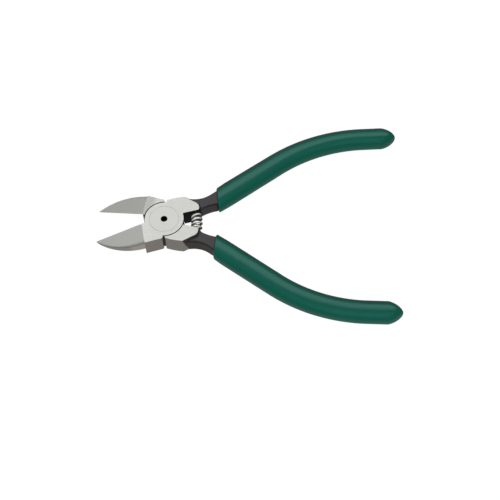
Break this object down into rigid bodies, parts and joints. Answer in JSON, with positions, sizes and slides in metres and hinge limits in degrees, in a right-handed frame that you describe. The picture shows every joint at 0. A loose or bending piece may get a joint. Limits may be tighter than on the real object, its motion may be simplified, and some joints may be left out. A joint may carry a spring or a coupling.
{
  "type": "flush cut pliers",
  "caption": "Lap-joint flush cutting pliers with sloping flush blades, a coil return spring and dipped plastic grips.",
  "frame": {"origin": "pivot axis at the back face of the head, the face on which the pliers lie flat", "axes": "+Z out of the front face along the pivot axis, +X from the pivot to the handles along the line on which the cutting edges meet, +Y towards the upper handle"},
  "size_m": [0.1501, 0.1132, 0.01],
  "materials": {
    "tool_steel": "ground satin head and blades, black oxide arms",
    "rivet_steel": "turned and ground flush",
    "spring_steel": "bright nickel plated wire",
    "green_grip": "dipped soft plastic, satin, dark green"
  },
  "bodies": {
    "rear_body": {"rear_half": "tool_steel", "lower_grip": "green_grip", "pivot_rivet": "rivet_steel", "return_spring": "spring_steel"},
    "front_body": {"front_half": "tool_steel", "upper_grip": "green_grip"}
  },
  "joints": [
    {"name": "jaw_pivot", "type": "hinge", "parent": "rear_body", "child": "front_body", "pos_m": [0, 0, 0], "axis": [0, 0, 1], "range_deg": [-28.6, 5.1], "stiffness_Nm_per_rad": 1.2, "deforming": ["return_spring"]}
  ]
}
